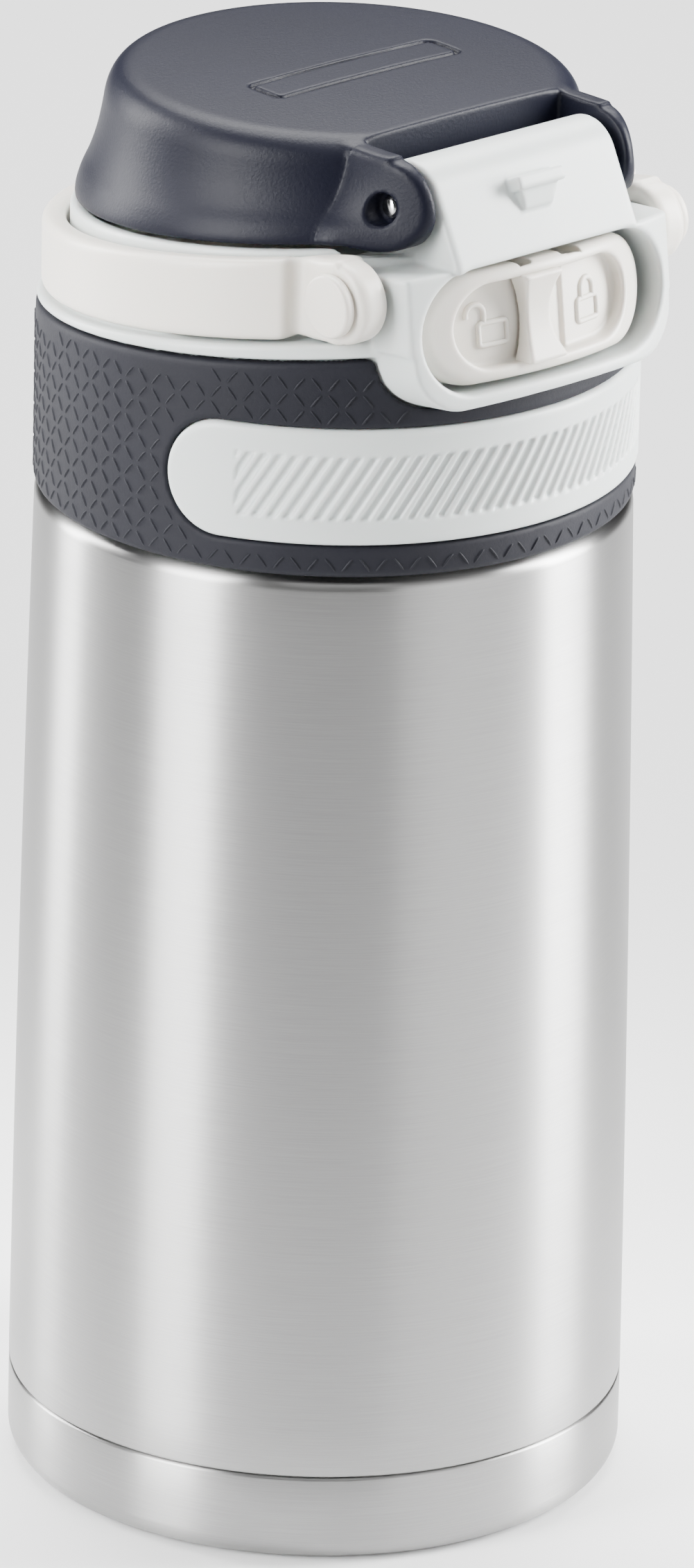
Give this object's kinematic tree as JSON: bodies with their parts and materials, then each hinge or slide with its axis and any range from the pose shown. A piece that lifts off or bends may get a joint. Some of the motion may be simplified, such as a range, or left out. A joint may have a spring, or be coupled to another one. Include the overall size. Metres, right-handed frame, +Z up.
{
  "type": "insulated travel mug",
  "caption": "Vacuum-insulated steel travel mug with a screw lid, spring-button flip cap, lock slider and a carry loop that swings over the cap.",
  "frame": {"origin": "centre of the flat underside of the base cup", "axes": "+Z up along the mug's axis, -Y towards the release button, +X to the right of someone who faces the button"},
  "size_m": [0.073, 0.0738, 0.1721],
  "materials": {
    "brushed_steel": "satin brushed round the body",
    "inner_steel": "electropolished",
    "getter_metal": "plain",
    "polished_steel": "bright drawn wire and pin",
    "pale_grey_plastic": "fine satin moulding",
    "soft_grip": "matt soft-touch with an embossed lattice",
    "off_white_plastic": "satin moulding",
    "charcoal_plastic": "fine spark-eroded grain",
    "silicone": "translucent matt"
  },
  "bodies": {
    "flask": {"base_cup": "brushed_steel", "outer_shell": "brushed_steel", "inner_vessel": "inner_steel", "vacuum_base_plate": "inner_steel", "getter": "getter_metal"},
    "seal_ring": {"neck_gasket": "silicone"},
    "lid": {"lid_housing": "pale_grey_plastic", "grip_sleeve": "soft_grip", "grip_pad": "pale_grey_plastic", "inner_stopper": "off_white_plastic", "mouthpiece": "off_white_plastic", "mouthpiece_gasket": "silicone", "hinge_pin": "polished_steel", "hinge_spring": "polished_steel", "loop_pivot_right": "off_white_plastic", "loop_pivot_left": "off_white_plastic", "button_spring_right": "polished_steel", "button_spring_left": "polished_steel", "latch_pin": "polished_steel"},
    "cap": {"flip_cap": "charcoal_plastic", "cap_liner": "pale_grey_plastic", "spout_seal": "silicone", "vent_seal": "silicone"},
    "loop": {"carry_loop": "off_white_plastic"},
    "button": {"release_button": "off_white_plastic"},
    "lock": {"lock_slider": "off_white_plastic"},
    "latch": {"latch_lever": "off_white_plastic"}
  },
  "joints": [
    {"name": "lid_rise", "type": "slide", "parent": "flask", "child": "seal_ring", "axis": [0, 0, 1], "range_m": [0, 0.006]},
    {"name": "lid_turn", "type": "hinge", "parent": "seal_ring", "child": "lid", "pos_m": [0, 0, 0.13], "axis": [0, 0, 1], "range_deg": [0, 540]},
    {"name": "cap_hinge", "type": "hinge", "parent": "lid", "child": "cap", "pos_m": [0, -0.0263, 0.1647], "axis": [1, 0, 0], "range_deg": [0, 130]},
    {"name": "loop_swing", "type": "hinge", "parent": "lid", "child": "loop", "pos_m": [0, -0.0265, 0.155], "axis": [1, 0, 0], "range_deg": [0, 170]},
    {"name": "button_press", "type": "slide", "parent": "lid", "child": "button", "axis": [0, 0.9917, -0.1288], "range_m": [0, 0.002], "stiffness_N_per_m": 400, "springref_m": -0.001, "deforming": ["button_spring_right", "button_spring_left"]},
    {"name": "lock_slide", "type": "slide", "parent": "button", "child": "lock", "axis": [1, 0, 0], "range_m": [0, 0.0046]},
    {"name": "latch_tilt", "type": "hinge", "parent": "lid", "child": "latch", "pos_m": [0, -0.0228, 0.1522], "axis": [1, 0, 0], "range_deg": [0, 24]}
  ],
  "couplings": [
    {"joint": "lid_rise", "follows": "lid_turn", "m_per_rad": 0.00063661},
    {"joint": "latch_tilt", "follows": "button_press", "rad_per_m": 160}
  ]
}
